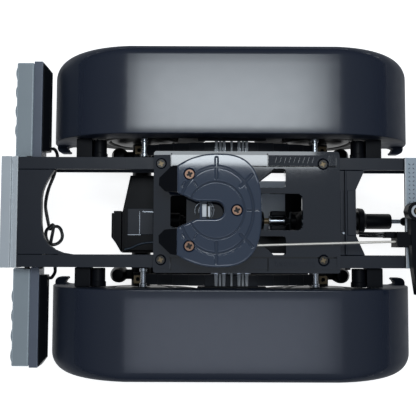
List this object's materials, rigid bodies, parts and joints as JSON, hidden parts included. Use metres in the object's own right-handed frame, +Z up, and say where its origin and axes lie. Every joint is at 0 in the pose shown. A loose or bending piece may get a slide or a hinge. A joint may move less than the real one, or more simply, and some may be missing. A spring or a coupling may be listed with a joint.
{
  "type": "model truck chassis section",
  "caption": "Rear tandem-axle section of a model truck chassis: twin rails, bogie with dual wheels, arched fenders, tail lamps and a tilting fifth-wheel coupling with a locking jaw.",
  "frame": {"origin": "on the ground, under the middle of the chassis, which is also below the bogie's pivot", "axes": "+X forwards to the cab, +Y to the truck's left, +Z up"},
  "size_m": [0.2652, 0.1886, 0.1044],
  "materials": {
    "frame_charcoal": "satin black powder coat",
    "coupling_black": "gloss black paint with a blue cast",
    "fender_shell": "satin dark blue-grey moulding",
    "black_plastic": "satin black moulding",
    "axle_black": "black painted casting",
    "bright_steel": "bright turned steel",
    "tyre": "matt rubber",
    "wheel_grey": "machined",
    "lamp_lens": "clear grey moulding",
    "pale_plate": "pale satin plate",
    "lead_black": "black insulation"
  },
  "bodies": {
    "chassis": {"cab_crossmember": "frame_charcoal", "center_crossmember": "frame_charcoal", "deck_plate": "pale_plate", "fifth_wheel_base": "coupling_black", "front_crossmember": "frame_charcoal", "gearbox_case": "black_plastic", "lamp_lead": "lead_black", "left_fender": "fender_shell", "left_front_fender_stay": "black_plastic", "left_front_stay_pin": "bright_steel", "left_lamp_bracket": "black_plastic", "left_lamp_housing": "frame_charcoal", "left_lamp_lens": "lamp_lens", "left_pivot_pin": "bright_steel", "left_rail": "frame_charcoal", "left_rear_fender_stay": "black_plastic", "left_rear_stay_pin": "bright_steel", "rear_crossmember": "frame_charcoal", "rear_end_plate": "pale_plate", "release_block": "black_plastic", "release_cable": "lead_black", "right_fender": "fender_shell", "right_front_fender_stay": "black_plastic", "right_front_stay_pin": "bright_steel", "right_lamp_bracket": "black_plastic", "right_lamp_housing": "frame_charcoal", "right_lamp_lens": "lamp_lens", "right_pivot_pin": "bright_steel", "right_rail": "frame_charcoal", "right_rear_fender_stay": "black_plastic", "right_rear_stay_pin": "bright_steel", "trunnion_shaft": "bright_steel"},
    "bogie": {"front_axle_housing": "axle_black", "front_diff_cover": "axle_black", "left_spring_pack": "frame_charcoal", "left_spring_saddle": "bright_steel", "rear_axle_housing": "axle_black", "rear_diff_cover": "axle_black", "right_spring_pack": "frame_charcoal", "right_spring_saddle": "bright_steel"},
    "rear_wheelset": {"rear_axle_shaft": "bright_steel", "rear_left_inner_tyre": "tyre", "rear_left_outer_tyre": "tyre", "rear_left_rim": "wheel_grey", "rear_right_inner_tyre": "tyre", "rear_right_outer_tyre": "tyre", "rear_right_rim": "wheel_grey"},
    "front_wheelset": {"front_axle_shaft": "bright_steel", "front_left_inner_tyre": "tyre", "front_left_outer_tyre": "tyre", "front_left_rim": "wheel_grey", "front_right_inner_tyre": "tyre", "front_right_outer_tyre": "tyre", "front_right_rim": "wheel_grey"},
    "inter_axle_shaft": {"inter_axle_shaft": "bright_steel"},
    "prop_shaft": {"prop_shaft": "bright_steel"},
    "saddle_plate": {"fifth_wheel_plate": "coupling_black", "jaw_pin": "bright_steel"},
    "locking_jaw": {"locking_jaw": "bright_steel"},
    "release_rod": {"release_rod": "bright_steel"}
  },
  "joints": [
    {"name": "bogie_pitch", "type": "hinge", "parent": "chassis", "child": "bogie", "pos_m": [0, 0, 0.05], "axis": [0, 1, 0], "range_deg": [-5, 5]},
    {"name": "rear_wheels_spin", "type": "hinge", "parent": "bogie", "child": "rear_wheelset", "pos_m": [-0.056, 0, 0.0415], "axis": [0, 1, 0], "continuous": true},
    {"name": "front_wheels_spin", "type": "hinge", "parent": "bogie", "child": "front_wheelset", "pos_m": [0.056, 0, 0.0415], "axis": [0, 1, 0], "continuous": true},
    {"name": "inter_axle_spin", "type": "hinge", "parent": "bogie", "child": "inter_axle_shaft", "pos_m": [0, -0.0035, 0.042], "axis": [1, 0, 0], "continuous": true},
    {"name": "prop_spin", "type": "hinge", "parent": "bogie", "child": "prop_shaft", "pos_m": [0.0815, -0.0035, 0.042], "axis": [1, 0, 0], "continuous": true},
    {"name": "saddle_tilt", "type": "hinge", "parent": "chassis", "child": "saddle_plate", "pos_m": [-0.0095, 0, 0.093], "axis": [0, 1, 0], "range_deg": [-8, 8]},
    {"name": "jaw_swing", "type": "hinge", "parent": "saddle_plate", "child": "locking_jaw", "pos_m": [-0.009, 0.0115, 0.095], "axis": [0, 0, 1], "range_deg": [-60, 0]},
    {"name": "release_pull", "type": "slide", "parent": "chassis", "child": "release_rod", "axis": [0.9995, 0.0305, 0], "range_m": [0, 0.006]}
  ],
  "couplings": [
    {"joint": "front_wheels_spin", "follows": "rear_wheels_spin", "ratio": 1},
    {"joint": "inter_axle_spin", "follows": "rear_wheels_spin", "ratio": 2.8},
    {"joint": "prop_spin", "follows": "rear_wheels_spin", "ratio": 2.8},
    {"joint": "jaw_swing", "follows": "release_pull", "rad_per_m": -174.53}
  ]
}
